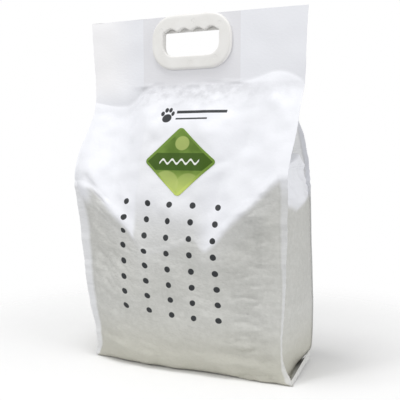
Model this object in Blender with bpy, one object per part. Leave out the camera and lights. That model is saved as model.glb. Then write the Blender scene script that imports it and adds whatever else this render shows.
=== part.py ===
"""Side-gusset film bag of cat litter with a two-part clip handle.

The bag stands on its flat base with the printed front panel facing -Y. It is one sealed
solid: the film with the litter in it, a flat sealed header above, and four seal fins that
run down its corners. The handle is two moulded rings that clamp the header between them:
the pegs of the front ring pass through the film into sockets in the back ring.
Units are metres, +Z is up, and the origin is the middle of the base.
"""

import math

import bpy
import numpy as np

MM = 0.001

# Bag
HEADER_HALF_WIDTH = 136 * MM
BASE_HALF_WIDTH = 117 * MM
BASE_SHIFT = 19 * MM  # the filled base has slumped towards +X
BAG_HEIGHT = 397 * MM
HEADER_FOOT = 319 * MM  # below this line the sealed layers part
HEADER_THICKNESS = 0.8 * MM
SHOULDER = 215 * MM  # the panels reach their full width of litter here
BASE_DEPTH = 47 * MM  # half the depth of the base, front to back
BELLY_DEPTH = 62 * MM  # half the depth at the lowest point of the belly crease
CREASE_LOW = 139 * MM  # height of the belly crease in the middle of a panel
CREASE_RISE = 80 * MM  # how much higher the crease ends at the corners
CORNER_DEPTH = 50 * MM  # half the depth where the crease meets a corner fin
MIDDLE_REACH = 0.6  # how far across a panel the bulged middle reaches
MIDDLE_BULGE = 2.2  # 1 is a straight slope, and more stands out sooner below the header
BASE_ROUNDING = 8 * MM
FIN_WIDTH = 7 * MM
FIN_THICKNESS = 0.5 * MM
SEALED_FIN = 0.3 * MM  # what is left of a fin where the layers are sealed flat
GUSSET_BULGE = 5 * MM
GUSSET_FOLD = 16 * MM  # depth of the inward fold of a gusset at the shoulder

# Handle
HANDLE_Z = 367 * MM
HANDLE_HALF_WIDTH = 50 * MM
HANDLE_HALF_HEIGHT = 31 * MM
HANDLE_CORNER = 27 * MM
HANDLE_THICKNESS = 5 * MM  # of each ring
OUTER_FILLET = 2.2 * MM
GRIP_HALF_WIDTH = 35.4 * MM
GRIP_BOTTOM = -16 * MM  # from the handle's middle
GRIP_TOP = 12 * MM
GRIP_BOTTOM_CORNER = 14 * MM
GRIP_TOP_CORNER = 2 * MM
GRIP_FILLET = 1.1 * MM
FINGERS = 4
FINGER_PITCH = 17 * MM
FINGER_DEPTH = 3.4 * MM
FINGER_SOFTNESS = 0.35  # 0 gives a sharp ridge between two finger hollows
PEG_RADIUS = 2 * MM
PEG_LENGTH = 3.4 * MM  # past the bag's middle plane
PEG_PLACES = [(-20 * MM, 23 * MM), (20 * MM, 23 * MM), (-25 * MM, -23.5 * MM), (25 * MM, -23.5 * MM)]
SOCKET_CLEARANCE = 0.3 * MM
FILM_PUNCH = 3 * MM  # the punched grip opening is this much wider than the handle's, each way
FILM_PEG_HOLE = 2.6 * MM

# Label
LABEL_HALF_DIAGONAL = 44.1 * MM  # to where its edges would meet
LABEL_CORNER = 5 * MM
LABEL_X = 4.6 * MM
LABEL_Z = 231.5 * MM
LABEL_RISE = 0.88  # height over true length, because the film slopes under it
LABEL_THICKNESS = 0.3 * MM

GAP = 0.3 * MM  # kept between pieces that touch


def smooth(t):
    """Cubic step from 0 to 1 with level ends."""
    t = np.clip(t, 0, 1)
    return t * t * (3 - 2 * t)


def half_width(z):
    """Half the width of a panel at height z."""
    return BASE_HALF_WIDTH + (HEADER_HALF_WIDTH - BASE_HALF_WIDTH) * smooth(z / SHOULDER)


def middle_x(z):
    """The x of a panel's middle at height z."""
    return BASE_SHIFT * (1 - smooth(z / SHOULDER))


def crease_height(u):
    """Height of the V-shaped belly crease at u, which runs from -1 to 1 across a panel."""
    return CREASE_LOW + CREASE_RISE * np.abs(u) ** 1.3


def panel_depth(u, z):
    """How far a panel stands from the bag's middle plane.

    From the header's foot it runs out to the belly crease, straight at the sides and in a
    level-ended step in the middle, then straight in to the base, where the edge is rounded.
    """
    crease = crease_height(u)
    at_crease = BELLY_DEPTH - (BELLY_DEPTH - CORNER_DEPTH) * u**2
    skin = HEADER_THICKNESS / 2
    fall = np.clip((HEADER_FOOT - z) / (HEADER_FOOT - crease), 0, 1)
    middle = smooth(1 - np.abs(u) / MIDDLE_REACH)
    above = skin + (at_crease - skin) * (fall + (1 - (1 - fall) ** MIDDLE_BULGE - fall) * middle)
    below = BASE_DEPTH + (at_crease - BASE_DEPTH) * np.clip(z / crease, 0, 1)
    into_corner = np.clip(1 - z / BASE_ROUNDING, 0, 1)
    rounding = BASE_ROUNDING * (1 - np.sqrt(1 - into_corner**2))
    return np.where(z > crease, above, below) - rounding


def level(u, v):
    """Height at v, which runs from 0 at the base to 1, the belly crease, 2, the header's foot, and 3."""
    heights = [0 * u, crease_height(u), HEADER_FOOT + 0 * u, BAG_HEIGHT + 0 * u]
    lower = min(int(v), 2)
    return heights[lower] + (v - lower) * (heights[lower + 1] - heights[lower])


def fin_width(z):
    """Width of the corner fins, which close up at the base and at the header."""
    open_up = smooth(z / (2 * BASE_ROUNDING)) * smooth((HEADER_FOOT - z) / (HEADER_FOOT - SHOULDER))
    return SEALED_FIN + (FIN_WIDTH - SEALED_FIN) * open_up


def panel_row(v, side, columns):
    """One row of a panel's points, from -X to +X: side is -1 for the front, 1 for the back."""
    z = level(columns, v)
    x = middle_x(z) + half_width(z) * columns
    return np.stack([x, side * panel_depth(columns, z), z], -1)


def gusset_row(v, side, columns):
    """One row of a gusset with the inner faces of its two fins, front to back, on the given side."""
    edge = np.array([float(side)])
    z = level(edge, v)[0]
    tip = half_width(z)
    root = tip - fin_width(z)
    depth = panel_depth(edge, np.array([z]))[0]
    thin = min(FIN_THICKNESS, 0.6 * depth)
    fold = GUSSET_FOLD * smooth((z - 0.2) / 0.075) * smooth((HEADER_FOOT - z) / 0.03)
    bulge = 0.1 * MM + GUSSET_BULGE * smooth(z / 0.06) * smooth((SHOULDER + 0.02 - z) / 0.05)
    reach = root + bulge * (1 - columns**2) - fold * (1 - np.abs(columns))
    out = np.concatenate([[tip, root], reach, [root, tip]])
    across = (depth - thin) * np.concatenate([[-1, -1], columns, [1, 1]])
    return np.stack([middle_x(z) + side * out, across, 0 * out + z], -1)


def new_object(name, vertices, faces, colour, roughness):
    """A mesh object with a plain material of its own."""
    mesh = bpy.data.meshes.new(name)
    mesh.from_pydata([tuple(map(float, p)) for p in vertices], [], faces)
    mesh.validate()
    thing = bpy.data.objects.new(name, mesh)
    bpy.context.scene.collection.objects.link(thing)
    material = bpy.data.materials.new(name)
    material.use_nodes = True
    shader = material.node_tree.nodes["Principled BSDF"]
    shader.inputs["Base Color"].default_value = (*colour, 1)
    shader.inputs["Roughness"].default_value = roughness
    shader.inputs["Metallic"].default_value = 0
    mesh.materials.append(material)
    return thing


def grid_faces(rows, columns, wrap_rows, wrap_columns):
    """Quads of a grid stored row by row, closed round either way where asked."""
    last_row = rows if wrap_rows else rows - 1
    last_column = columns if wrap_columns else columns - 1
    return [
        (
            row * columns + column,
            row * columns + (column + 1) % columns,
            (row + 1) % rows * columns + (column + 1) % columns,
            (row + 1) % rows * columns + column,
        )
        for row in range(last_row)
        for column in range(last_column)
    ]


def make_bag():
    """Rings of points carried up from the base to the header's top edge, capped at both ends."""
    fin_share = FIN_WIDTH / HEADER_HALF_WIDTH
    inner = np.linspace(-1 + fin_share, 1 - fin_share, 25)
    across = np.concatenate([[-1], inner, [1]])
    along = np.linspace(-1, 1, 11)[1:-1]
    levels = np.concatenate(
        [
            [0, 0.008, 0.02, 0.035, 0.055],
            np.linspace(0.08, 1, 12),
            np.linspace(1, 2, 15)[1:],
            np.linspace(2, 3, 4)[1:],
        ]
    )
    rings = []
    for v in levels:
        front = panel_row(v, -1, across)
        back = panel_row(v, 1, across)[::-1]
        right = gusset_row(v, 1, along)
        left = gusset_row(v, -1, along)[::-1]
        rings.append(np.concatenate([front, right, back, left]))
    size = len(rings[0])
    faces = grid_faces(len(rings), size, False, True)

    count = len(across)
    gusset = len(along) + 4
    back_start = count + gusset

    def back_index(column):
        return back_start + count - 1 - column

    right_inner = list(range(count + 1, count + gusset - 1))
    left_inner = list(range(size - gusset + 1, size - 1))
    cap = [(k, k + 1, back_index(k + 1), back_index(k)) for k in range(1, count - 2)]
    cap.append((count - 2, *right_inner, back_index(count - 2)))
    cap.append((back_index(1), *left_inner, 1))
    cap.append((count - 2, count - 1, count, count + 1))
    cap.append((back_index(count - 2), count + gusset - 2, count + gusset - 1, back_index(count - 1)))
    cap.append((back_index(1), back_index(0), size - gusset, size - gusset + 1))
    cap.append((0, 1, size - 2, size - 1))
    faces += [tuple(reversed(face)) for face in cap]
    top = (len(rings) - 1) * size
    faces += [tuple(top + k for k in face) for face in cap]
    return new_object("bag", np.concatenate(rings), faces, (0.86, 0.86, 0.85), 0.55)


def rounded_outline(half_x, low, high, bottom_corner, top_corner, wave):
    """Points round a rounded rectangle, counter-clockwise seen from the front, as x and z.

    wave(x) is added to the height of the top edge.
    """
    top_reach = half_x - top_corner
    bottom_reach = half_x - bottom_corner
    corners = [
        (bottom_reach, low + bottom_corner, bottom_corner, -90),
        (top_reach, high - top_corner, top_corner, 0),
        (-top_reach, high - top_corner, top_corner, 90),
        (-bottom_reach, low + bottom_corner, bottom_corner, 180),
    ]
    arcs = []
    for centre_x, centre_z, radius, start in corners:
        angles = np.radians(start + np.linspace(0, 90, 9))
        arcs.append(
            np.stack([centre_x + radius * np.cos(angles), centre_z + radius * np.sin(angles)], -1)
        )
    bottom = np.stack([np.linspace(-bottom_reach, bottom_reach, 8), np.full(8, low)], -1)[1:-1]
    across = np.linspace(top_reach, -top_reach, 50)[1:-1]
    top = np.stack([across, high + wave(across)], -1)
    sides = [np.linspace(arcs[0][-1], arcs[1][0], 5)[1:-1], np.linspace(arcs[2][-1], arcs[3][0], 5)[1:-1]]
    return np.concatenate([bottom, arcs[0], sides[0], arcs[1], top, arcs[2], sides[1], arcs[3]])


def no_wave(x):
    """A straight top edge."""
    return 0 * x


def finger_wave(x):
    """Four hollows side by side, each an arc, with a rounded ridge between two of them."""
    arch = np.abs(np.sin(math.pi * (x / FINGER_PITCH + FINGERS / 2)))
    lift = np.sqrt(arch**2 + FINGER_SOFTNESS**2) - FINGER_SOFTNESS
    return FINGER_DEPTH * lift / (math.sqrt(1 + FINGER_SOFTNESS**2) - FINGER_SOFTNESS)


def widened(outline, distance):
    """The outline moved outwards by a distance, along its own normals."""
    along = np.roll(outline, -1, 0) - np.roll(outline, 1, 0)
    normal = np.stack([along[:, 1], -along[:, 0]], -1)
    return outline + distance * normal / np.linalg.norm(normal, axis=1, keepdims=True)


def make_ring(name, side, wave):
    """Half of the handle: its section carried round, flat towards the film and rounded outside."""
    outer = rounded_outline(
        HANDLE_HALF_WIDTH, -HANDLE_HALF_HEIGHT, HANDLE_HALF_HEIGHT, HANDLE_CORNER, HANDLE_CORNER, no_wave
    )
    grip = rounded_outline(
        GRIP_HALF_WIDTH, GRIP_BOTTOM, GRIP_TOP, GRIP_BOTTOM_CORNER, GRIP_TOP_CORNER, wave
    )
    seat = HEADER_THICKNESS / 2 + GAP
    face = seat + HANDLE_THICKNESS
    turns = np.radians([0, 30, 60, 90])
    loops = [(outer, seat)]
    for turn in turns:
        inset = OUTER_FILLET * (1 - math.cos(turn))
        loops.append((widened(outer, -inset), face - OUTER_FILLET * (1 - math.sin(turn))))
    for turn in turns[::-1]:
        inset = GRIP_FILLET * (1 - math.cos(turn))
        loops.append((widened(grip, inset), face - GRIP_FILLET * (1 - math.sin(turn))))
    loops.append((grip, seat))
    points = [
        np.stack([outline[:, 0], np.full(len(outline), side * depth), HANDLE_Z + outline[:, 1]], -1)
        for outline, depth in loops
    ]
    faces = grid_faces(len(loops), len(outer), True, True)
    if side > 0:
        faces = [tuple(reversed(quad)) for quad in faces]
    return new_object(name, np.concatenate(points), faces, (0.84, 0.83, 0.80), 0.4)


def make_rods(name, radius, start, end):
    """A round rod along Y at each peg's place, as one object."""
    turns = (np.arange(16) + 0.37) * math.pi / 8
    points = []
    faces = []
    for x, z in PEG_PLACES:
        first = 32 * len(points)
        circle = np.stack([x + radius * np.cos(turns), 0 * turns, HANDLE_Z + z + radius * np.sin(turns)], -1)
        points.append(np.concatenate([circle + (0, start, 0), circle + (0, end, 0)]))
        rod = [tuple(reversed(quad)) for quad in grid_faces(2, 16, False, True)]
        rod += [tuple(range(16)), tuple(range(31, 15, -1))]
        faces += [tuple(first + k for k in face) for face in rod]
    return new_object(name, np.concatenate(points), faces, (0.8, 0.8, 0.8), 0.5)


def combine(target, tool, operation):
    """Applies one exact boolean to the target and removes the tool."""
    cut = target.modifiers.new(operation, "BOOLEAN")
    cut.operation = operation
    cut.solver = "EXACT"
    cut.object = tool
    depsgraph = bpy.context.evaluated_depsgraph_get()
    result = bpy.data.meshes.new_from_object(target.evaluated_get(depsgraph))
    target.modifiers.clear()
    target.data = result
    bpy.data.objects.remove(tool)


def make_punch():
    """The tool that cuts the grip opening out of the film."""
    outline = rounded_outline(
        GRIP_HALF_WIDTH + FILM_PUNCH,
        GRIP_BOTTOM - FILM_PUNCH,
        GRIP_TOP + FINGER_DEPTH + FILM_PUNCH,
        GRIP_BOTTOM_CORNER + FILM_PUNCH,
        GRIP_TOP_CORNER + FILM_PUNCH,
        no_wave,
    )
    count = len(outline)
    points = [
        np.stack([outline[:, 0], np.full(count, y), HANDLE_Z + outline[:, 1]], -1) for y in (-0.005, 0.005)
    ]
    sides = [tuple(reversed(quad)) for quad in grid_faces(2, count, False, True)]
    caps = [tuple(range(count)), tuple(range(2 * count - 1, count - 1, -1))]
    return new_object("punch", np.concatenate(points), sides + caps, (0.8, 0.8, 0.8), 0.5)


def make_label():
    """A rounded diamond of printed film that follows the front panel, a gap in front of it."""
    rim = []
    for turn in np.radians([0, 90, 180, 270]):
        arc = turn + np.radians(np.linspace(-45, 45, 7))
        centre = LABEL_HALF_DIAGONAL - LABEL_CORNER * math.sqrt(2)
        x = centre * math.cos(turn) + LABEL_CORNER * np.cos(arc)
        z = centre * math.sin(turn) + LABEL_CORNER * np.sin(arc)
        rim.append(np.stack([x, z], -1))
    sides = [np.linspace(arc[-1], after[0], 8)[1:-1] for arc, after in zip(rim, rim[1:] + rim[:1])]
    rim = np.concatenate([line for pair in zip(rim, sides) for line in pair])
    rings = []
    for share in np.linspace(1, 0.1, 8):
        x = LABEL_X + share * rim[:, 0]
        z = LABEL_Z + share * rim[:, 1] * LABEL_RISE
        u = (x - middle_x(z)) / half_width(z)
        rings.append(np.stack([x, -panel_depth(u, z) - 2 * GAP, z], -1))
    sheet = np.concatenate(rings[::-1])
    front = sheet - (0, LABEL_THICKNESS, 0)
    count = len(rim)
    rows = len(rings)
    size = len(sheet)
    back_faces = grid_faces(rows, count, False, True) + [tuple(range(count))[::-1]]
    front_faces = [tuple(size + k for k in reversed(face)) for face in back_faces]
    rim_start = size - count
    edge = [
        (rim_start + k, rim_start + (k + 1) % count, size + rim_start + (k + 1) % count, size + rim_start + k)
        for k in range(count)
    ]
    faces = back_faces + front_faces + edge
    return new_object("label", np.concatenate([sheet, front]), faces, (0.25, 0.42, 0.1), 0.4)


for old in list(bpy.data.objects):
    bpy.data.objects.remove(old)

bag = make_bag()
combine(bag, make_punch(), "DIFFERENCE")
combine(bag, make_rods("film_holes", FILM_PEG_HOLE, -0.004, 0.004), "DIFFERENCE")

handle_front = make_ring("handle_front", -1, finger_wave)
combine(handle_front, make_rods("pegs", PEG_RADIUS, -0.002, PEG_LENGTH), "UNION")
handle_back = make_ring("handle_back", 1, no_wave)
socket_radius = PEG_RADIUS + SOCKET_CLEARANCE
combine(handle_back, make_rods("sockets", socket_radius, -0.001, PEG_LENGTH + GAP), "DIFFERENCE")

label = make_label()
for piece in (bag, handle_front, handle_back, label):
    piece.data.shade_smooth()
    piece.data.set_sharp_from_angle(angle=math.radians(35))
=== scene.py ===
import math

import bpy
import numpy as np
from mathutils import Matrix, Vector


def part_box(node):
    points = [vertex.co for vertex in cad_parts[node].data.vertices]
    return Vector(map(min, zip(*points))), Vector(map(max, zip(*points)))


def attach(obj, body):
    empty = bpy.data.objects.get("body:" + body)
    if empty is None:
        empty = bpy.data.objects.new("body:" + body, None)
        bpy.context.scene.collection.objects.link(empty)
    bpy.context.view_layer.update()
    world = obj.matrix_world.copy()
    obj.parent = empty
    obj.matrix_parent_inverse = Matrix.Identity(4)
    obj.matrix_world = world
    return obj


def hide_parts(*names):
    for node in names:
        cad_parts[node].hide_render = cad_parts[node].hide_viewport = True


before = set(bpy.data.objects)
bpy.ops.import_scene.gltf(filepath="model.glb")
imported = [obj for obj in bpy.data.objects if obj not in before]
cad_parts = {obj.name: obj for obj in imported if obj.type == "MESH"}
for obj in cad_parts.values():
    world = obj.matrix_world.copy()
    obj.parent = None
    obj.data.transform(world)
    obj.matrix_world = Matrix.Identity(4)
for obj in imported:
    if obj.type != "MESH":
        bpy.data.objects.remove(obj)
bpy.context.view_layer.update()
scene = bpy.context.scene
scene.view_settings.view_transform = "Standard"

# ---------------------------------------------------------------------------
# Camera. It stands a little to the right of the bag and a little above its
# middle, close enough for the header to taper clearly towards the far side.
# ---------------------------------------------------------------------------
CAMERA_AZIMUTH = math.radians(26.04)
CAMERA_DISTANCE = 0.7734
CAMERA_HEIGHT = 0.25
CAMERA_TURN = math.radians(25.39)
CAMERA_DIP = math.radians(4.74)

camera_data = bpy.data.cameras.new("camera")
camera_data.sensor_width = 36
camera_data.lens = 60
camera_data.clip_start = 0.05
camera = bpy.data.objects.new("camera", camera_data)
camera.location = (
    CAMERA_DISTANCE * math.sin(CAMERA_AZIMUTH),
    -CAMERA_DISTANCE * math.cos(CAMERA_AZIMUTH),
    CAMERA_HEIGHT,
)
camera.rotation_euler = (math.pi / 2 - CAMERA_DIP, 0, CAMERA_TURN)
scene.collection.objects.link(camera)
scene.camera = camera

# ---------------------------------------------------------------------------
# Bag. One skin of matt white printed film round the litter: two panels, two
# side gussets, a fin of sealed film down each corner and a flat header.
# The film is carried round in rings from the base to the header's top edge.
# ---------------------------------------------------------------------------
MM = 0.001
_, bag_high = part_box("bag")
TOP = bag_high[2]
HALF_WIDTH = bag_high[0]
SKIN = 0.4 * MM
FIN_THICKNESS = 0.5 * MM

# The outer edges of the front panel, as heights and places across, in metres.
LEFT_EDGE = [
    (0, -0.105), (0.008, -0.1055), (0.016, -0.1015), (0.03, -0.1035), (0.078, -0.113),
    (0.137, -0.122), (0.167, -0.1265), (0.19, -0.131),
    (0.21, -0.135), (0.25, -0.1352), (0.285, -0.1322), (0.305, -0.1325), (0.36, -0.135), (0.4, -0.136),
]
RIGHT_EDGE = [
    (0, 0.1385), (0.006, 0.137), (0.016, 0.13), (0.03, 0.1265), (0.05, 0.1265),
    (0.08, 0.1285), (0.15, 0.1308), (0.235, 0.132), (0.265, 0.134),
    (0.31, 0.1335), (0.36, 0.135), (0.4, 0.136),
]
BACK_RIGHT_EDGE = [
    (0, 0.1305), (0.034, 0.1325), (0.07, 0.133), (0.112, 0.1315), (0.152, 0.129), (0.195, 0.1275),
    (0.23, 0.1285), (0.262, 0.1265), (0.275, 0.1225), (0.29, 0.1225), (0.305, 0.129), (0.316, 0.1338),
    (0.36, 0.135), (0.4, 0.136),
]
# The line where the sloping film meets the upright belly, and the header's foot.
BELLY_FOLD = [
    (-0.14, 0.206), (-0.124, 0.209), (-0.107, 0.205), (-0.09, 0.19), (-0.078, 0.178), (-0.05, 0.154),
    (-0.032, 0.135), (-0.007, 0.14), (0.012, 0.147), (0.029, 0.156), (0.042, 0.139), (0.056, 0.15),
    (0.07, 0.167), (0.098, 0.192), (0.12, 0.215), (0.14, 0.226),
]
HEADER_FOOT = [
    (-0.14, 0.303), (-0.104, 0.296), (-0.078, 0.296), (-0.064, 0.317), (0, 0.3195), (0.062, 0.3195),
    (0.08, 0.323), (0.1, 0.331), (0.12, 0.327), (0.14, 0.312),
]
# In the middle the film stands out quickly below the header and then falls almost upright:
# shares of the way down to the belly fold, and of the depth there.
MIDDLE_PROFILE = [
    (0, 0), (0.08, 0.19), (0.16, 0.36), (0.285, 0.56), (0.49, 0.71), (0.69, 0.84), (0.86, 0.94), (1, 1),
]
BELLY_DEPTH = 0.0595
CORNER_DEPTH = 0.050
BASE_DEPTH = 0.0455


def smooth(t):
    """Cubic step from 0 to 1 with level ends."""
    t = np.clip(t, 0, 1)
    return t * t * (3 - 2 * t)


def follow(points, at, soften=0.004):
    """Value at some places of a line given by its points: straight between them, each corner softened."""
    places, values = np.array(points).T
    steps = (-1, -0.5, 0, 0.5, 1)
    return sum(np.interp(at + soften * step, places, values) for step in steps) / len(steps)


def soft_min(a, b, blend):
    """The lesser of two depths, joined by a parabola that is one blend wide."""
    share = np.clip(0.5 + 0.5 * (b - a) / blend, 0, 1)
    return b + (a - b) * share - blend * share * (1 - share)


def lattice(column, row, seed):
    """Smooth value noise from -1 to 1: random heights on a unit square lattice, blended by cubic steps."""
    heights = np.random.default_rng(seed).uniform(-1, 1, (257, 257))
    left = np.floor(column).astype(int) % 256
    low = np.floor(row).astype(int) % 256
    across = smooth(column - np.floor(column))
    up = smooth(row - np.floor(row))
    lower = heights[low, left] * (1 - across) + heights[low, left + 1] * across
    upper = heights[low + 1, left] * (1 - across) + heights[low + 1, left + 1] * across
    return lower * (1 - up) + upper * up


def noise(x, z, size, seed):
    """Lattice noise of one grain size, its lattice turned by an angle of its own so that no rows show."""
    turn = 0.4 + 1.7 * seed
    column = (x * math.cos(turn) - z * math.sin(turn)) / size
    row = (x * math.sin(turn) + z * math.cos(turn)) / size
    return lattice(column + 64.37, row + 64.71, seed)


def crimp(x, z, start, end, width, height):
    """A soft ridge along a segment, or a valley if height is negative: a bell across it, fading at its ends."""
    start = np.array(start)
    run = np.array(end) - start
    length = np.hypot(*run)
    along = ((x - start[0]) * run[0] + (z - start[1]) * run[1]) / length**2
    aside = ((x - start[0]) * run[1] - (z - start[1]) * run[0]) / length
    fade = smooth((along + 0.15) / 0.3) * smooth((1.15 - along) / 0.3)
    return height * fade * np.exp(-((aside / width) ** 2))


# Single folds of the front film: start, end, width and height, in metres.
FRONT_FOLDS = [
    ((-0.045, 0.275), (-0.044, 0.16), 0.004, 0.0006),
    ((-0.118, 0.215), (-0.085, 0.186), 0.006, -0.0022),
    ((0.035, 0.17), (0.085, 0.255), 0.012, -0.0018),
    ((0.02, 0.27), (0.05, 0.235), 0.01, 0.0012),
    ((-0.03, 0.318), (-0.012, 0.29), 0.007, -0.0012),
    ((0.1, 0.3), (0.125, 0.27), 0.008, 0.0012),
    ((0.07, 0.3), (0.11, 0.24), 0.01, 0.0010),
    ((-0.12, 0.28), (-0.075, 0.265), 0.008, 0.0012),
    ((-0.125, 0.255), (-0.07, 0.245), 0.01, 0.0010),
    ((-0.03, 0.21), (0.0, 0.16), 0.012, 0.0008),
    ((0.125, 0.17), (0.085, 0.165), 0.003, 0.0007),
    ((0.125, 0.15), (0.07, 0.143), 0.004, -0.0008),
    ((0.125, 0.128), (0.08, 0.125), 0.003, 0.0007),
    ((0.125, 0.108), (0.06, 0.098), 0.004, -0.0008),
    ((0.125, 0.088), (0.085, 0.086), 0.003, 0.0007),
    ((0.12, 0.066), (0.055, 0.06), 0.004, -0.0008),
    ((0.122, 0.052), (0.08, 0.047), 0.003, 0.0006),
    ((-0.1, 0.13), (-0.07, 0.11), 0.004, -0.0008),
    ((-0.1, 0.11), (-0.065, 0.085), 0.004, 0.0008),
    ((-0.095, 0.09), (-0.065, 0.07), 0.004, -0.0008),
    ((-0.097, 0.04), (-0.06, 0.028), 0.004, -0.0016),
    ((-0.095, 0.03), (-0.05, 0.02), 0.005, 0.0014),
    ((0.045, 0.03), (0.115, 0.026), 0.004, -0.0018),
    ((0.05, 0.018), (0.115, 0.014), 0.006, 0.0022),
    ((0.0, 0.026), (0.06, 0.03), 0.005, -0.0008),
]


def base_radius(x):
    """Radius of the bottom edge: wide in the middle, tighter at the two corners."""
    return 0.018 - 0.012 * smooth((x - 0.04) / 0.05) - 0.01 * smooth((-0.065 - x) / 0.03)


def belly_depth(x, z):
    """Depth of the upright film over the litter: most in the middle of the fold, less at corners and base."""
    edge = np.abs(x) / HALF_WIDTH
    at_fold = BELLY_DEPTH - (BELLY_DEPTH - CORNER_DEPTH) * edge**2
    at_base = BASE_DEPTH + 0.8 * base_radius(x)
    share = np.clip(z / 0.15, 0, 1.4)
    return at_base + (at_fold - at_base) * share ** 0.8


def rounding(z, radius):
    """How far a quarter circle at the base draws a wall in at height z."""
    return radius * (1 - np.sqrt(1 - np.clip(1 - z / radius, 0, 1) ** 2))


def creases(x, z, tilt, seed):
    """Long bulges with narrow valleys between, along a line that falls to the right by the tilt in degrees."""
    turn = math.radians(tilt)
    along = x * math.cos(turn) - z * math.sin(turn)
    across = x * math.sin(turn) + z * math.cos(turn)
    long = lattice(along / 0.03 + 64, across / 0.0095 + 64, seed)
    short = lattice(along / 0.015 + 64, across / 0.005 + 64, seed + 1)
    return 1.3 * np.abs(long) + 0.7 * np.abs(short) - 0.8


def near_label(x, z):
    """1 where the label lies flat on the film, falling to 0 beyond its edges."""
    return smooth((0.06 - np.abs(x - 0.0046) - np.abs(z - 0.2315) / 0.88) / 0.016)


def front_depth(x, z):
    """How far the front film stands out from the middle plane.

    The film slopes from the header's foot to the belly fold and drops from there to the
    base. The fold is crisp on both flanks, where a lip stands out along it, and soft in
    the middle. Single folds, slack and the pressed-through pellets are added to that.
    """
    fold = follow(BELLY_FOLD, x)
    foot = follow(HEADER_FOOT, x, 0.008)
    flank = smooth((np.abs(x - 0.004) - 0.03) / 0.02)
    belly = belly_depth(x, z)
    at_fold = belly_depth(x, fold)
    fall = np.clip((foot - z) / (foot - fold), 0, 2)
    middle = smooth((0.088 - np.abs(x)) / 0.055)
    profile = fall**1.05 * (1 - middle) + follow(MIDDLE_PROFILE, fall, 0.04) * middle
    slope = SKIN + (at_fold - SKIN) * profile + 0.1 * np.maximum(fall - 1, 0)
    bulged_corner = smooth((-0.09 - x) / 0.025)
    depth = soft_min(slope, belly, 0.0035 - 0.002 * flank + 0.012 * bulged_corner)
    lip = flank * (1 - bulged_corner) * np.exp(-(((z - fold - 0.002) / 0.008) ** 2))
    depth = depth + 0.0018 * lip
    free = smooth(fall / 0.15)
    for start, end, width, height in FRONT_FOLDS:
        depth = depth + free * crimp(x, z, start, end, width, height)
    filled = smooth((fall - 0.85) / 0.25)
    slack = noise(x, z, 0.045, 3) * 0.002 + noise(x, z, 0.021, 4) * 0.0015
    slack = slack + noise(x, z, 0.011, 8) * 0.0008 * (1 - filled)
    slack = slack + noise(x, z, 0.016, 9) * 0.0011 * smooth((0.42 - fall) / 0.25) * smooth(fall / 0.06)
    pellets = noise(x, z, 0.009, 5) * 0.0002 + noise(x, z, 0.0045, 6) * 0.00016
    loose = 1 - 0.9 * near_label(x, z)
    depth = depth + free * loose * (slack + (0.3 + 0.7 * filled) * pellets)
    inside_right = smooth((follow(RIGHT_EDGE, z) - 0.008 - x) / 0.02)
    inside_left = smooth((x - follow(LEFT_EDGE, z) - 0.012) / 0.02)
    to_right = smooth((x - 0.04) / 0.06) * creases(x, z, -6, 41) * inside_right
    to_left = smooth((-0.03 - x) / 0.05) * creases(x, z, 38, 43) * inside_left
    depth = depth + filled * (0.0032 * to_right + 0.0014 * to_left + 0.0006 * creases(x, z, 12, 45))
    return depth - rounding(z, base_radius(x))


# Small pinches where the sealed header ends.
FOOT_MARKS = [
    ((-0.064, 0.3185), (-0.052, 0.3195), 0.0011, 0.0006), ((-0.05, 0.319), (-0.036, 0.3205), 0.0012, -0.0006),
    ((0.018, 0.3205), (0.036, 0.3185), 0.0012, -0.0007), ((0.038, 0.321), (0.062, 0.3195), 0.0013, 0.0008),
    ((0.046, 0.317), (0.064, 0.318), 0.0012, -0.0007), ((-0.012, 0.3205), (0.004, 0.3195), 0.001, 0.0004),
]


def header_wave(x, z):
    """How far the thin header swings forwards: none under the handle, more towards its outer edges."""
    clear = smooth((np.abs(x) - 0.05) / 0.03)
    swing = 0.0022 * noise(x, z, 0.06, 51) + 0.0008 * noise(x, z, 0.025, 52)
    return clear * smooth((z - 0.28) / 0.04) * swing


def back_depth(x, z):
    """How far the back film stands out: the same form as the front, with a plainer fold."""
    fold = 0.15 + 0.06 * np.abs(x / HALF_WIDTH) ** 1.3
    foot = 0.318 - 0.016 * np.abs(x / HALF_WIDTH) ** 3
    belly = belly_depth(x, z)
    fall = np.clip((foot - z) / (foot - fold), 0, 2)
    slope = SKIN + (belly_depth(x, fold) - SKIN) * fall
    depth = soft_min(slope, belly, 0.003)
    free = smooth(fall / 0.15)
    slack = noise(x, z, 0.045, 13) * 0.0015 + noise(x, z, 0.02, 14) * 0.0006 + noise(x, z, 0.008, 15) * 0.0003
    return depth + free * slack - rounding(z, 0.012)


def fin_width(side, z):
    """Width of the front fin on one side: none in the header, full beside the litter."""
    if side > 0:
        width = follow([
            (0, 0.0085), (0.012, 0.0065), (0.028, 0.002), (0.05, 0.002), (0.08, 0.003), (0.115, 0.0048),
            (0.15, 0.0078), (0.225, 0.009), (0.26, 0.005), (0.3, 0.0003), (0.4, 0.0003),
        ], z)
    else:
        width = follow([
            (0, 0.006), (0.02, 0.008), (0.068, 0.0105), (0.115, 0.0125), (0.15, 0.0145), (0.175, 0.013),
            (0.19, 0.009), (0.205, 0.003), (0.25, 0.0015), (0.3, 0.0003), (0.4, 0.0003),
        ], z)
    return 0.0003 + (width - 0.0003) * smooth(z / 0.004)


PANEL_COLUMNS = 150
BACK_COLUMNS = 84
GUSSET_COLUMNS = {1: 44, -1: 22}
FIN_COLUMNS = 4
LEVELS = np.concatenate([
    np.linspace(0, 0.05, 12)[:-1], np.linspace(0.05, 1, 128)[:-1],
    np.linspace(1, 2, 122)[:-1], np.linspace(2, 3, 41),
])


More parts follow.
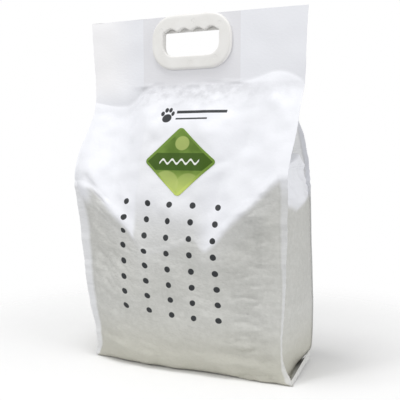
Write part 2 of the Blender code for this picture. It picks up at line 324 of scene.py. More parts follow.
def heights(place):
    """Heights of a column's points: even steps from base to belly fold, to the header's foot, to the top."""
    foot = follow(HEADER_FOOT, place, 0.008)
    stops = np.stack([0 * place, follow(BELLY_FOLD, place), foot, TOP + 0 * place])
    lower = np.minimum(LEVELS.astype(int), 2)
    share = (LEVELS - lower)[:, None]
    return stops[lower] * (1 - share) + stops[lower + 1] * share


def notch(z, amount):
    """Teeth of the knife-cut film edge, about 2 mm apart."""
    return amount * np.abs(np.sin(math.pi * z / 0.0021)) * (0.6 + 0.4 * noise(z, 0 * z, 0.004, 21))


left_column = heights(np.array([-HALF_WIDTH]))[:, 0]
right_column = heights(np.array([HALF_WIDTH]))[:, 0]
column_height = {-1: left_column, 1: right_column}
tip = {
    -1: follow(LEFT_EDGE, left_column) + notch(left_column, 0.0006),
    1: follow(RIGHT_EDGE, right_column) - notch(right_column, 0.0006),
}
root = {side: tip[side] - side * fin_width(side, column_height[side]) for side in (-1, 1)}


def edge_tuck(gap):
    """How far the filled film falls back beside a fin, by its distance from the fin's root."""
    return 0.0045 * np.exp(-gap / 0.004)


share = np.linspace(0, 1, PANEL_COLUMNS)
front_z = heights(-HALF_WIDTH + 2 * HALF_WIDTH * share)
front_x = root[-1][:, None] * (1 - share) + root[1][:, None] * share
tuck = edge_tuck(front_x - root[-1][:, None]) + edge_tuck(root[1][:, None] - front_x)
opened = smooth((0.24 - front_z) / 0.05) * smooth(front_z / 0.01)
marks = sum(crimp(front_x, front_z, *mark) for mark in FOOT_MARKS)
front_stand = front_depth(front_x, front_z) + marks - tuck * opened
front_y = -np.maximum(front_stand, SKIN) - header_wave(front_x, front_z)
front = np.stack([front_x, front_y, front_z], -1)

back_share = np.linspace(1, 0, BACK_COLUMNS)
back_z = heights(-HALF_WIDTH + 2 * HALF_WIDTH * back_share)
back_tip = {
    -1: tip[-1] + rounding(left_column, 0.012),
    1: follow(BACK_RIGHT_EDGE, right_column) - rounding(right_column, 0.02)
    - notch(right_column, 0.0012) * smooth((right_column - 0.19) / 0.01),
}
back_fin = {
    side: follow([
        (0, 0.0015), (0.185, 0.0015), (0.21, 0.006), (0.26, 0.006), (0.3, 0.0003), (0.4, 0.0003),
    ], height)
    for side, height in column_height.items()
}
back_root = {side: back_tip[side] - side * back_fin[side] for side in (-1, 1)}
back_x = back_root[-1][:, None] * (1 - back_share) + back_root[1][:, None] * back_share
tuck = edge_tuck(back_x - back_root[-1][:, None]) + edge_tuck(back_root[1][:, None] - back_x)
opened = smooth((0.24 - back_z) / 0.05) * smooth(back_z / 0.01)
back_y = np.maximum(back_depth(back_x, back_z) - tuck * opened, SKIN) - header_wave(back_x, back_z)
back = np.stack([back_x, back_y, back_z], -1)


def strip(start_x, end_x, y, z, lean):
    """A fin's face: even steps across from start to end, leaning back by lean times the distance."""
    steps = np.linspace(0, 1, FIN_COLUMNS)
    x = start_x[:, None] * (1 - steps) + end_x[:, None] * steps
    leaned_y = y[:, None] + lean * np.abs(x - start_x[:, None])
    return np.stack([x, leaned_y, np.repeat(z[:, None], FIN_COLUMNS, 1)], -1)


def puff_peak(w):
    """Height of the inverted V over a gusset's puff, by place from -1 at the front to 1 at the back."""
    return 0.242 - np.where(w < -0.15, 0.017, 0.026) * np.abs(w + 0.15)


def puff_foot(w):
    """Height of the shallow V that the puff ends in."""
    return 0.18 + 0.011 * np.abs(w + 0.1)


def gusset_press_and_shade(side):
    """How much of the darker colour of filled film a gusset takes: all below the puff, where litter shows through,
    none in the puff, and half in the fold above it, where that colour is painted shade of the recess.
    """
    z = column_height[side][:, None]
    w = np.linspace(-1, 1, GUSSET_COLUMNS[side])[None, :]
    below = smooth((puff_foot(w) + 0.004 - z) / 0.008)
    above = 0.5 * smooth(0.5 + (z - puff_peak(w)) / 0.005) * smooth((0.31 - z) / 0.03)
    return below + above


def gusset(side):
    """One side of the bag between the inner faces of its fins, from front to back.

    It swells over the litter and stands out in a crumpled puff under an inverted V. Above
    the V it lies folded in between the panels.
    """
    z = column_height[side][:, None]
    w = np.linspace(-1, 1, GUSSET_COLUMNS[side])[None, :]
    front_edge = front[:, -1 if side > 0 else 0, 1][:, None]
    back_edge = back[:, 0 if side > 0 else -1, 1][:, None]
    thin = np.minimum(FIN_THICKNESS, 0.3 * (back_edge - front_edge))
    y = front_edge + thin + (back_edge - front_edge - 2 * thin) * (w + 1) / 2
    across = (w + 1) / 2
    base = root[side][:, None] * (1 - across) + back_root[side][:, None] * across
    swell = 0.0035 * smooth(z / 0.05) * smooth((0.235 - z) / 0.05) * (1 - w**2)
    above_peak = z - puff_peak(w)
    in_puff = smooth(0.5 - above_peak / 0.006) * smooth((z - puff_foot(w)) / 0.012)
    puff = 0.008 * in_puff * (1 - w**2)
    crumple = 0.002 * in_puff * lattice((y + 0.8 * z) / 0.007 + 64, (z - 0.5 * y) / 0.016 + 64, 35)
    recess = smooth(0.5 + above_peak / 0.005) * smooth((0.3 - z) / 0.03)
    fold = (0.004 + 0.009 * np.exp(-np.maximum(above_peak, 0) / 0.01)) * recess * (1 - w**4)
    wrinkles = lattice(y / 0.03 + 64, z / 0.011 + 64, 31 + side) * 0.0016
    wrinkles = wrinkles + noise(y, z, 0.007, 33 + side) * 0.0003
    free = (1 - w**2) * smooth((0.3 - z) / 0.05)
    x = base + side * (swell + puff - fold + wrinkles * free + crumple * (1 - w**2))
    return np.stack([x, y, np.repeat(z, w.size, 1)], -1)


right = gusset(1)
left = gusset(-1)[:, ::-1]


def fin_pair(side, corner):
    """The outer and inner faces of a fin. corner is -1 at the front and 1 at the back."""
    z = column_height[side]
    if corner < 0:
        y = front[:, -1 if side > 0 else 0, 1]
        start = root[side]
        lean = (0.1 if side > 0 else -0.05) * smooth((0.26 - z) / 0.04)[:, None]
    else:
        y = back[:, 0 if side > 0 else -1, 1]
        start = back_root[side]
        lean = -0.1 * smooth((0.26 - z) / 0.04)[:, None]
    inside = right if side > 0 else left[:, ::-1]
    inner_y = inside[:, 0 if corner < 0 else -1, 1]
    end = tip[side] if corner < 0 else back_tip[side]
    outer = strip(start, end, y, z, lean)[:, 1:]
    inner = strip(start, end, inner_y, z, lean)[:, :0:-1]
    return outer, inner


right_front, right_front_inner = fin_pair(1, -1)
right_back, right_back_inner = fin_pair(1, 1)
left_front, left_front_inner = fin_pair(-1, -1)
left_back, left_back_inner = fin_pair(-1, 1)
rings = np.concatenate([
    front, right_front, right_front_inner, right, right_back_inner[:, ::-1], right_back[:, ::-1],
    back, left_back, left_back_inner, left, left_front_inner[:, ::-1], left_front[:, ::-1],
], 1)
rows, size = rings.shape[:2]


def grid_quads(rows, columns, wrap_rows, wrap_columns):
    """Indices of the quads of a grid stored row by row, closed round either way where asked."""
    row = np.arange(rows if wrap_rows else rows - 1)[:, None]
    column = np.arange(columns if wrap_columns else columns - 1)[None, :]
    next_row = (row + 1) % rows
    next_column = (column + 1) % columns
    corners = [row * columns + column, row * columns + next_column,
               next_row * columns + next_column, next_row * columns + column]
    return np.stack(corners, -1).reshape(-1, 4)


def new_piece(name, points, faces, slot_name, *replaced):
    """A smooth mesh object that rides on the body and stands for the CAD nodes it replaces."""
    mesh = bpy.data.meshes.new(name)
    mesh.from_pydata(points.reshape(-1, 3).tolist(), [], [list(map(int, face)) for face in faces])
    mesh.validate()
    mesh.shade_smooth()
    piece = bpy.data.objects.new(name, mesh)
    scene.collection.objects.link(piece)
    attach(piece, "root")
    if replaced:
        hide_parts(*replaced)
    return piece


base_middle = rings[0].mean(0)
top_middle = rings[-1].mean(0)
base_index = rows * size
ring = np.arange(size)
after = (ring + 1) % size
faces = [
    *grid_quads(rows, size, False, True),
    *np.stack([after, ring, np.full(size, base_index)], -1),
    *np.stack([ring + (rows - 1) * size, after + (rows - 1) * size, np.full(size, base_index + 1)], -1),
]
points = np.concatenate([rings.reshape(-1, 3), [base_middle, top_middle]])
bag = new_piece("litter_bag", points, faces, "bag_film", "bag")

# How far litter presses against the film, plus painted shade on the lower fins and in the gusset fold over the
# puff, and the place on the flat film, kept for the material. The darker colour this calls up is partly painted
# shade as well.
below_fold = follow(BELLY_FOLD, front_x) - front_z
soft_middle = smooth((front_x + 0.048) / 0.005) * smooth((0.05 - front_x) / 0.025)
pressed_front = smooth((below_fold + 0.001) / 0.01) * (0.85 + 0.15 * smooth(below_fold / 0.05))
pressed_front *= 1 - smooth((-0.1 - front_x) / 0.015) * smooth((front_z - 0.175) / 0.02)
half_pressed = 0.6 * smooth((0.195 - front_z) / 0.05) + 0.12 * smooth((0.29 - front_z) / 0.04)
pressed_front = np.maximum(pressed_front, soft_middle * half_pressed)
pressed_and_shade = np.zeros((rows, size))
pressed_and_shade[:, :PANEL_COLUMNS] = pressed_front
pressed_and_shade[:, PANEL_COLUMNS:] = smooth((0.192 - rings[:, PANEL_COLUMNS:, 2]) / 0.018)
back_fold = 0.15 + 0.06 * np.abs(back_x / HALF_WIDTH) ** 1.3
first_back = PANEL_COLUMNS + 4 * (FIN_COLUMNS - 1) + GUSSET_COLUMNS[1]
pressed_and_shade[:, first_back:first_back + BACK_COLUMNS] = smooth(0.5 + (back_fold - back_z) / 0.02)
first_gusset = PANEL_COLUMNS + 2 * (FIN_COLUMNS - 1)
pressed_and_shade[:, first_gusset:first_gusset + GUSSET_COLUMNS[1]] = gusset_press_and_shade(1)
# Painted shade: the fins hold no litter, yet below 0.22 m they take part of the darker colour of filled film.
FIN_PAINTED_SHADE = {1: 0.6, -1: 0.35}
first = 0
for block in (front, right_front, right_front_inner, right, right_back_inner, right_back,
              back, left_back, left_back_inner, left, left_front_inner, left_front):
    last = first + block.shape[1]
    if block.shape[1] == FIN_COLUMNS - 1:
        side = 1 if block[0, 0, 0] > 0 else -1
        pressed_and_shade[:, first:last] = FIN_PAINTED_SHADE[side] * smooth((0.22 - block[..., 2]) / 0.03)
    first = last
layer = bag.data.attributes.new("pressed_and_shade", "FLOAT", "POINT")
layer.data.foreach_set("value", np.concatenate([pressed_and_shade.ravel(), [1, 0]]))
run = np.linalg.norm(np.diff(rings, axis=0), axis=2)
# The filled film has slid a little: across by height, and upwards by place across.
FILM_SLIDE = [
    (0, 0.009), (0.063, 0.0045), (0.08, 0.0027), (0.096, 0.0011), (0.113, -0.0002), (0.13, -0.0022),
    (0.148, -0.003), (0.166, -0.0017), (0.184, -0.0004), (0.2, 0), (0.4, 0),
]
FILM_LIFT = [
    (-0.14, 0.0022), (-0.058, 0.0022), (-0.03, 0.0008), (0, -0.0003),
    (0.027, -0.0016), (0.055, 0.0003), (0.14, 0.0003),
]
gathered = 1 + 0.1 * smooth((0.13 - rings[1:, :, 2]) / 0.05)
film_height = np.concatenate([np.cumsum((run * gathered)[::-1], 0)[::-1], np.zeros((1, size))])
slid_across = follow(FILM_SLIDE, rings[..., 2])
slid_up = follow(FILM_LIFT, rings[..., 0])
film = np.stack([rings[..., 0] - slid_across, TOP - film_height - slid_up], -1).reshape(-1, 2)
film = np.concatenate([film, [[0, -1], [0, 1]]])
corner_vertex = np.empty(len(bag.data.loops), dtype=int)
bag.data.loops.foreach_get("vertex_index", corner_vertex)
film_map = bag.data.uv_layers.new(name="film")
film_map.uv.foreach_set("vector", film[corner_vertex].ravel())

# The folded seal of the base, which stands out under the right gusset.
along = np.linspace(0, 1, 24)[:, None]
back_along = -0.045 + 0.086 * along
top = np.hstack([0.1358 - 0.0055 * along, back_along, 0.0048 + 0.008 * along])
bottom = np.hstack([0.1372 - 0.006 * along, back_along, 0.0008 + 0.0045 * along])
inner = np.hstack([0.123 - 0.004 * along, back_along, 0.0006 + 0 * along])
film_step = 0.4 * MM
flap_points = np.stack([
    top, bottom, inner, inner + (0, 0, film_step), bottom + (-film_step, 0, film_step), top - (film_step, 0, 0),
], 1)
flap_faces = [*grid_quads(24, 6, False, True), range(5, -1, -1), range(6 * 23, 6 * 24)]
flap = new_piece("base_flap", flap_points, flap_faces, "bag_film")
flap.data.set_sharp_from_angle(angle=math.radians(40))
# Painted shade: the flap is sealed film with no litter in it, yet it takes over half the darker colour of filled
# film.
layer = flap.data.attributes.new("pressed_and_shade", "FLOAT", "POINT")
layer.data.foreach_set("value", np.full(6 * 24, 0.55))

# The grip opening is punched through the header, a little wider than the handle's.
HANDLE_MIDDLE = Vector([(low + high) / 2 for low, high in zip(*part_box("handle_back"))])
HANDLE_MIDDLE.x = 0


def rounded_outline(half_x, low, high, bottom_corner, top_corner, wave, steps=16):
    """Points round a rounded rectangle, counter-clockwise seen from the front, as x and z.

    Each corner is a quarter circle, and wave(x) is added to the height of the top edge.
    """
    top_reach = half_x - top_corner
    bottom_reach = half_x - bottom_corner
    centres = [
        (bottom_reach, low + bottom_corner, bottom_corner, -90),
        (top_reach, high - top_corner, top_corner, 0),
        (-top_reach, high - top_corner, top_corner, 90),
        (-bottom_reach, low + bottom_corner, bottom_corner, 180),
    ]
    turn = np.linspace(0, 90, steps)
    arcs = [
        np.stack([x + radius * np.cos(np.radians(start + turn)), z + radius * np.sin(np.radians(start + turn))], -1)
        for x, z, radius, start in centres
    ]
    bottom = np.stack([np.linspace(-bottom_reach, bottom_reach, 16), np.full(16, low)], -1)[1:-1]
    across = np.linspace(top_reach, -top_reach, 140)[1:-1]
    top = np.stack([across, high + wave(across)], -1)
    rise = np.linspace(arcs[0][-1], arcs[1][0], 8)[1:-1]
    drop = np.linspace(arcs[2][-1], arcs[3][0], 8)[1:-1]
    return np.concatenate([bottom, arcs[0], rise, arcs[1], top, arcs[2], drop, arcs[3]])


punch_outline = rounded_outline(0.0384, -0.019, 0.0184, 0.017, 0.007, lambda x: 0 * x)
count = len(punch_outline)
punch_points = np.stack([
    np.stack([punch_outline[:, 0], np.full(count, y), HANDLE_MIDDLE.z + punch_outline[:, 1]], -1)
    for y in (-0.004, 0.004)
])
punch_mesh = bpy.data.meshes.new("punch")
punch_mesh.from_pydata(
    punch_points.reshape(-1, 3).tolist(), [],
    [list(map(int, quad[::-1])) for quad in grid_quads(2, count, False, True)]
    + [list(range(count)), list(range(2 * count - 1, count - 1, -1))],
)
punch = bpy.data.objects.new("punch", punch_mesh)
scene.collection.objects.link(punch)
cut = bag.modifiers.new("punched_grip", "BOOLEAN")
cut.operation = "DIFFERENCE"
cut.solver = "EXACT"
cut.object = punch
whole = bag.data
bag.data = bpy.data.meshes.new_from_object(bag.evaluated_get(bpy.context.evaluated_depsgraph_get()))
bag.modifiers.clear()
bag.data.set_sharp_from_angle(angle=math.radians(60))
bpy.data.meshes.remove(whole)
bpy.data.objects.remove(punch)


class Value:
    """A shader socket whose arithmetic adds Math nodes, and colour and vector maths their own nodes."""

    def __init__(self, tree, socket):
        self.tree = tree
        self.socket = socket

    def node(self, kind, settings=(), inputs=(), output=0):
        """Adds a node of any type, with its settings first and then the values or links of its inputs."""
        node = self.tree.nodes.new(kind)
        for name, value in dict(settings).items():
            setattr(node, name, value)
        for name, value in dict(inputs).items():
            if isinstance(value, Value):
                self.tree.links.new(value.socket, node.inputs[name])
            else:
                node.inputs[name].default_value = value
        return Value(self.tree, node.outputs[output])

    def math(self, operation, *values):
        return self.node("ShaderNodeMath", {"operation": operation}, dict(enumerate(values)))

    def __add__(self, other):
        return self.math("ADD", self, other)

    def __sub__(self, other):
        return self.math("SUBTRACT", self, other)

    def __mul__(self, other):
        return self.math("MULTIPLY", self, other)

    def __truediv__(self, other):
        return self.math("DIVIDE", self, other)

    def __radd__(self, other):
        return self.math("ADD", other, self)

    def __rsub__(self, other):
        return self.math("SUBTRACT", other, self)

    def __rmul__(self, other):
        return self.math("MULTIPLY", other, self)

    def step(self, start, end):
        """A smooth step of this value from 0 at start to 1 at end."""
        return self.node(
            "ShaderNodeMapRange", {"interpolation_type": "SMOOTHSTEP"},
            {"Value": self, "From Min": start, "From Max": end},
        )

    def blend(self, first, second):
        """A colour mixed from first to second by this value."""
        return self.node("ShaderNodeMix", {"data_type": "RGBA"}, {0: self, 6: first, 7: second}, 2)

    def parts(self):
        """The x, y and z of a vector."""
        split = self.tree.nodes.new("ShaderNodeSeparateXYZ")
        self.tree.links.new(self.socket, split.inputs[0])
        return [Value(self.tree, split.outputs[k]) for k in range(3)]

    def noise(self, scale, detail=2.0, roughness=0.5):
        return self.node(
            "ShaderNodeTexNoise", {}, {"Vector": self, "Scale": scale, "Detail": detail, "Roughness": roughness}
        )

    def bump(self, distance, strength=1.0):
        """A normal bent by this height, which is a share of the distance."""
        return self.node("ShaderNodeBump", {}, {"Height": self, "Distance": distance, "Strength": strength})


def new_material(name):
    """An empty Principled material: the material, a starting value for its maths, and its shader."""
    material = bpy.data.materials.new(name)
    material.use_nodes = True
    tree = material.node_tree
    shader = tree.nodes["Principled BSDF"]
    place = tree.nodes.new("ShaderNodeTexCoord")
    return material, Value(tree, place.outputs["Object"]), shader


def finish(shader, **sockets):
    """Sets or links the shader's sockets by their names, with _ for a space."""
    for name, value in sockets.items():
        socket = shader.inputs[name.replace("_", " ")]
        if isinstance(value, Value):
            value.tree.links.new(value.socket, socket)
        else:
            socket.default_value = value


# Matt white film: cool white where it hangs free, warmer and greyer where the pellets press against it, with their
# grain showing through, and a printed grid of round dots.
# That warmer grey is partly the litter seen through the film and partly painted shade; more painted shade greys the
# slack film under the header and darkens the film near the base.
FREE_FILM = (0.84, 0.85, 0.89, 1)
DOUBLED_FILM = (0.79, 0.79, 0.82, 1)
SLACK_PAINTED_SHADE = (0.60, 0.605, 0.635, 1)
LIT_FILM = (0.93, 0.925, 0.94, 1)
PRESSED_FILM_AND_SHADE = (0.60, 0.60, 0.575, 1)
PRESSED_SHADE = (0.53, 0.532, 0.505, 1)
LOW_PAINTED_SHADE = (0.47, 0.46, 0.39, 1)
DOT_INK = (0.028, 0.031, 0.034, 1)
DOT_COLUMNS = 5
DOT_ROWS = 8
DOT_SPACING_X = 0.0281
DOT_SPACING_Z = 0.0183
DOT_RADIUS = 0.0035
DOT_FIRST = (-0.0577, 0.1726)

PAW_X = -0.02
PAW_Z = 0.284
PAW_TOES = [(-0.0068, 0.001), (-0.0025, 0.005), (0.0025, 0.005), (0.0068, 0.001)]
PAW_BARS = [(0.022, 0.2865, 0.03, 0.0016), (0.012, 0.279, 0.02, 0.0009)]


def disc(x, z, middle_x, middle_z, reach_x, reach_z):
    """1 inside an ellipse and 0 outside it, with a narrow soft edge."""
    off_x = (x - middle_x) / reach_x
    off_z = (z - middle_z) / reach_z
    return 1 - (off_x * off_x + off_z * off_z).step(0.85, 1.15)


def bar(x, z, middle_x, middle_z, half_length, half_height):
    """1 inside a level bar and 0 outside it, with a narrow soft edge."""
    off_x = x - middle_x
    off_z = z - middle_z
    in_length = 1 - off_x.math("ABSOLUTE", off_x).step(half_length - 0.0003, half_length + 0.0003)
    in_height = 1 - off_z.math("ABSOLUTE", off_z).step(half_height - 0.0003, half_height + 0.0003)
    return in_length * in_height


film_material, place, film_shader = new_material("bag_film")
pressed_and_shade_value = place.node("ShaderNodeAttribute", {"attribute_name": "pressed_and_shade"}, output=2)
on_film = place.node("ShaderNodeUVMap", {"uv_map": "film"})
film_x, film_z, _ = on_film.parts()
grain_place = place.node("ShaderNodeMapping", {}, {"Vector": place, "Scale": (1, 1, 1.5)})
pellet_cells = place.node(
    "ShaderNodeTexVoronoi", {"feature": "SMOOTH_F1"}, {"Vector": grain_place, "Scale": 300, "Smoothness": 0.3}
)
mottle = place.noise(190, 3.0, 0.65)
cloud = place.noise(16, 2.0)
shade = (mottle.step(0.35, 0.7) * 0.7 + cloud.step(0.35, 0.7) * 0.3)
pressed_and_shaded_colour = shade.blend(PRESSED_SHADE, PRESSED_FILM_AND_SHADE)
x, y, z = place.parts()
on_front = y.math("LESS_THAN", y, 0)
doubled = x.step(-0.0637, -0.0633) * (1 - x.step(0.0598, 0.0602)) * z.step(0.3, 0.33)
# One layer at the header's left end lets light through; that light is painted as a lighter colour.
single = (1 - x.step(-0.12, -0.065)) * z.step(0.29, 0.33)
free_colour = doubled.blend(single.blend(FREE_FILM, LIT_FILM), DOUBLED_FILM)
# Under the header the film hangs slack in crumples too fine to model; their shade is painted into the colour as a
# mottled grey band: painted shade.
crumple = place.noise(75, 3.0, 0.6)
slack_shade_across = x.step(-0.092, -0.06) * (1 - x.step(0.035, 0.1) * 0.75)
slack_shade_here = slack_shade_across * z.step(0.284, 0.309) * (1 - z.step(0.3165, 0.3205))
slack_shade_share = slack_shade_here * on_front * (0.35 + 0.65 * crumple.step(0.35, 0.65))
free_colour = slack_shade_share.blend(free_colour, SLACK_PAINTED_SHADE)
# Painted shade: near the floor the colour of filled film turns darker and warmer.
low = 1 - z.step(0.0, 0.075)
pressed_and_shaded_colour = (low * 0.85).blend(pressed_and_shaded_colour, LOW_PAINTED_SHADE)
film_colour = pressed_and_shade_value.blend(free_colour, pressed_and_shaded_colour)
column = (film_x - (DOT_FIRST[0] - DOT_SPACING_X / 2)) / DOT_SPACING_X
row = ((DOT_FIRST[1] + DOT_SPACING_Z / 2) - film_z) / DOT_SPACING_Z
off_x = (column.math("FRACT", column) - 0.5) * DOT_SPACING_X
off_z = (row.math("FRACT", row) - 0.5) * DOT_SPACING_Z
distance = (off_x * off_x + off_z * off_z).math("SQRT", off_x * off_x + off_z * off_z)
dot = 1 - distance.step(DOT_RADIUS - 0.0002, DOT_RADIUS + 0.0002)
inside = (
    column.math("GREATER_THAN", column, 0) * column.math("LESS_THAN", column, DOT_COLUMNS)
    * row.math("GREATER_THAN", row, 0) * row.math("LESS_THAN", row, DOT_ROWS)
)
paw = disc(x, z, PAW_X, PAW_Z - 0.0042, 0.0062, 0.0048)
for toe_x, toe_z in PAW_TOES:
    paw = paw.math("MAXIMUM", paw, disc(x, z, PAW_X + toe_x, PAW_Z + toe_z, 0.0023, 0.0027))
for bar_x, bar_z, half_length, half_height in PAW_BARS:
    paw = paw.math("MAXIMUM", paw, bar(x, z, bar_x, bar_z, half_length, half_height))
ink = (dot * inside).math("MAXIMUM", dot * inside, paw) * on_front
film_colour = ink.blend(film_colour, DOT_INK)
relief = (1 - pellet_cells) * (pressed_and_shade_value * 0.8 + 0.2) + mottle * 0.25
finish(
    film_shader,
    Base_Color=film_colour,
    Roughness=0.55 - 0.1 * mottle,
    Specular_IOR_Level=0.35,
    Normal=relief.bump(0.0006, 0.5),
)
bag.data.materials.clear()
bag.data.materials.append(film_material)
flap.data.materials.append(film_material)

# ---------------------------------------------------------------------------
# Handle. Two moulded rings of warm white plastic clamp the header between them.
# The front ring has four finger hollows, the back one a plain grip edge.
# ---------------------------------------------------------------------------
HALF_HEIGHT = 0.031
RING_CORNER = 0.027
FINGER_PITCH = 0.017
FINGER_DEPTH = 0.0034
FINGER_SOFTNESS = 0.35
OUTER_FILLET = 0.0026
GRIP_FILLET = 0.0011


def finger_wave(x):
    """Four hollows side by side: the height of |sin| with its zeros rounded."""
    arch = np.abs(np.sin(math.pi * x / FINGER_PITCH))
    lift = np.sqrt(arch**2 + FINGER_SOFTNESS**2) - FINGER_SOFTNESS
    return FINGER_DEPTH * lift / (math.sqrt(1 + FINGER_SOFTNESS**2) - FINGER_SOFTNESS)


def widened(outline, distance):
    """The outline moved outwards by a distance along its own normals."""
    along = np.roll(outline, -1, 0) - np.roll(outline, 1, 0)
    normal = np.stack([along[:, 1], -along[:, 0]], -1)
    return outline + distance * normal / np.linalg.norm(normal, axis=1, keepdims=True)


# Round marks that the mould's ejector pins left, from the handle's middle.
PINS = [(0.031, -0.019), (-0.034, -0.012), (0.004, 0.0225), (0.036, 0.018), (-0.037, 0.014)]

handle_material, place, handle_shader = new_material("handle_plastic")
cloud = place.noise(60, 3.0)
orange_peel = place.noise(900, 2.0)
x, _, z = place.parts()
pins = disc(x, z, 0.0, HANDLE_MIDDLE.z - 0.0235, 0.0024, 0.0024)
for pin_x, pin_z in PINS:
    pins = pins.math("MAXIMUM", pins, disc(x, z, pin_x, HANDLE_MIDDLE.z + pin_z, 0.0024, 0.0024))
finish(
    handle_shader,
    Base_Color=cloud.step(0.3, 0.7).blend((0.80, 0.79, 0.765, 1), (0.84, 0.832, 0.81, 1)),
    Roughness=0.36 + 0.1 * cloud,
    Specular_IOR_Level=0.5,
    Normal=(orange_peel * 0.2 - pins).bump(0.0005, 0.6),
)

for name, side, wave in (("handle_front", -1, finger_wave), ("handle_back", 1, lambda x: 0 * x)):
    low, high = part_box(name)
    seat = SKIN + 0.0003
    face = high[1] if side > 0 else -low[1]
    outer = rounded_outline(high[0], -HALF_HEIGHT, HALF_HEIGHT, RING_CORNER, RING_CORNER, lambda x: 0 * x)
    wider = 0 if side < 0 else 0.0012
    grip = rounded_outline(0.0354 + wider, -0.016 - wider, 0.012, 0.014, 0.002, wave)
    turns = np.radians(np.linspace(0, 90, 7))
    section = [(outer, seat)]
    section += [
        (widened(outer, -OUTER_FILLET * (1 - math.cos(t))), face - OUTER_FILLET * (1 - math.sin(t)))
        for t in turns
    ]
    section += [
        (widened(outer, -OUTER_FILLET) * (1 - t) + widened(grip, GRIP_FILLET) * t, face)
        for t in np.linspace(0, 1, 9)[1:-1]
    ]
    section += [
        (widened(grip, GRIP_FILLET * (1 - math.cos(t))), face - GRIP_FILLET * (1 - math.sin(t)))
        for t in turns[::-1]
    ]
    section.append((grip, seat))
    count = len(outer)
    points = np.stack([
        np.stack([outline[:, 0], np.full(count, side * depth), HANDLE_MIDDLE.z + outline[:, 1]], -1)
        for outline, depth in section
    ])
    faces = grid_quads(len(section), count, True, True)
    if side > 0:
        faces = faces[:, ::-1]
    ring = new_piece(name + "_ring", points, faces, "handle_plastic", name)
    ring.data.set_sharp_from_angle(angle=math.radians(50))
    ring.data.materials.append(handle_material)

# ---------------------------------------------------------------------------
# Label. A rounded diamond of glossy printed film stuck flat on the sloping
# front: mid green above, a dark band across it and pale green at its foot.
# ---------------------------------------------------------------------------
LABEL_HALF_DIAGONAL = 0.0441
LABEL_CORNER = 0.005
LABEL_RAISE = 0.0004
LABEL_LEAN = 0.04
label_low, label_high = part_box("label")
label_x = (label_low[0] + label_high[0]) / 2
label_z = (label_low[2] + label_high[2]) / 2
label_rise = (label_high[2] - label_low[2]) / (label_high[0] - label_low[0])

rim = []
for turn in np.radians([0, 90, 180, 270]):
    arc = turn + np.radians(np.linspace(-45, 45, 12))
    centre = LABEL_HALF_DIAGONAL - LABEL_CORNER * math.sqrt(2)
    rim.append(np.stack([
        centre * math.cos(turn) + LABEL_CORNER * np.cos(arc), centre * math.sin(turn) + LABEL_CORNER * np.sin(arc),
    ], -1))
rim = [
    np.concatenate([arc, np.linspace(arc[-1], after[0], 30)[1:-1]])
    for arc, after in zip(rim, rim[1:] + rim[:1])
]
rim = np.concatenate(rim)
share = np.linspace(0.02, 1, 50)[:, None]
x = label_x + share * (rim[:, 0] - LABEL_LEAN * rim[:, 1])
z = label_z + share * rim[:, 1] * label_rise
y = -front_depth(x, z) - LABEL_RAISE
sheet = np.stack([x, y, z], -1)
behind = sheet[-1:] + (0, LABEL_RAISE * 0.8, 0)
points = np.concatenate([sheet, behind]).reshape(-1, 3)
count = len(rim)
faces = [*grid_quads(len(share) + 1, count, False, True)[:, ::-1], np.arange(count)]
label = new_piece("diamond_label", points, faces, "label_film", "label")

label_material, place, label_shader = new_material("label_film")
x, _, z = place.parts()
x = (x - label_x) / LABEL_HALF_DIAGONAL
z = (z - label_z) / (LABEL_HALF_DIAGONAL * label_rise)
edge = x.math("ABSOLUTE", x) + z.math("ABSOLUTE", z)
ground = z.step(-0.15, -0.85).blend((0.105, 0.185, 0.028, 1), (0.50, 0.61, 0.14, 1))
soft = place.noise(55, 2.0)
ground = (soft.step(0.4, 0.65) * 0.35).blend(ground, (0.27, 0.42, 0.09, 1))
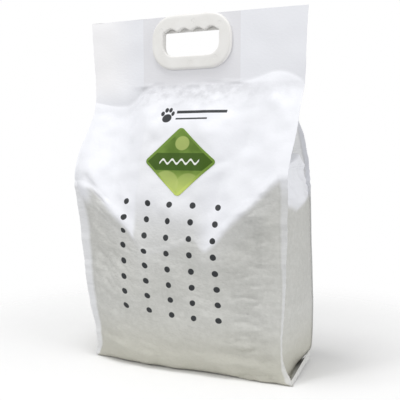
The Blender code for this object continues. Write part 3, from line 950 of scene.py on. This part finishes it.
# Two hills and the disc: place, reach and strength, in shares of the half diagonal.
LABEL_DISCS = [(-0.33, -0.62, 0.36, 0.5), (0.3, -0.66, 0.34, 0.35), (0.04, 0.52, 0.2, 0.6)]
for hill_x, hill_z, reach, strength in LABEL_DISCS:
    ground = (disc(x, z, hill_x, hill_z, reach, reach) * strength).blend(ground, (0.52, 0.60, 0.2, 1))
band = z.step(-0.255, -0.235) * (1 - z.step(0.235, 0.255))
ground = (band * 0.85).blend(ground, (0.045, 0.095, 0.012, 1))
from_wave = z - (x * 24).math("SINE", x * 24) * 0.06
wave = 1 - from_wave.math("ABSOLUTE", from_wave).step(0.022, 0.038)
wave = wave * (1 - x.math("ABSOLUTE", x).step(0.55, 0.57))
ground = wave.blend(ground, (0.85, 0.87, 0.82, 1))
border = edge.step(0.9, 0.915)
rim_colour = z.step(-0.15, -0.85).blend((0.17, 0.28, 0.05, 1), (0.55, 0.66, 0.16, 1))
ground = border.blend(ground, rim_colour)
finish(label_shader, Base_Color=ground, Roughness=0.5, Specular_IOR_Level=0.1)
label.data.materials.append(label_material)

# ---------------------------------------------------------------------------
# Floor, sky and lamps: a pale studio with one large soft light overhead.
# ---------------------------------------------------------------------------
floor_mesh = bpy.data.meshes.new("floor")
reach = 3.0
floor_corners = [(-reach, -reach, 0), (reach, -reach, 0), (reach, reach, 0), (-reach, reach, 0)]
floor_mesh.from_pydata(floor_corners, [], [(0, 1, 2, 3)])
floor = bpy.data.objects.new("floor", floor_mesh)
scene.collection.objects.link(floor)
floor_material, place, floor_shader = new_material("floor")
x, y, _ = place.parts()
from_bag = (x * x + y * y).math("SQRT", x * x + y * y)
finish(
    floor_shader,
    Base_Color=(0.95, 0.95, 0.95, 1),
    Roughness=0.9,
    Specular_IOR_Level=0.1,
    Alpha=1 - from_bag.step(0.16, 0.5),
)
floor_mesh.materials.append(floor_material)

SKY_LIGHT = 0.52
world = bpy.data.worlds.new("studio")
world.use_nodes = True
background = world.node_tree.nodes["Background"]
background.inputs["Color"].default_value = (1, 1, 1, 1)
seen = Value(world.node_tree, world.node_tree.nodes.new("ShaderNodeLightPath").outputs["Is Camera Ray"])
world.node_tree.links.new((SKY_LIGHT + (1 - SKY_LIGHT) * seen).socket, background.inputs["Strength"])
scene.world = world


def soft_lamp(name, power, size, location, target):
    """A square area lamp that faces a target."""
    data = bpy.data.lights.new(name, "AREA")
    data.energy = power
    data.size = size
    lamp = bpy.data.objects.new(name, data)
    lamp.location = location
    aim = Vector(target) - Vector(location)
    lamp.rotation_euler = aim.to_track_quat("-Z", "Y").to_euler()
    scene.collection.objects.link(lamp)


soft_lamp("overhead", 8, 0.5, (-0.15, -0.3, 1.5), (0, 0, 0.2))
soft_lamp("window", 9, 0.5, (-1.0, -1.5, 1.1), (0, 0, 0.2))
soft_lamp("fill", 8, 0.8, (1.5, -0.3, 0.5), (0, 0, 0.15))
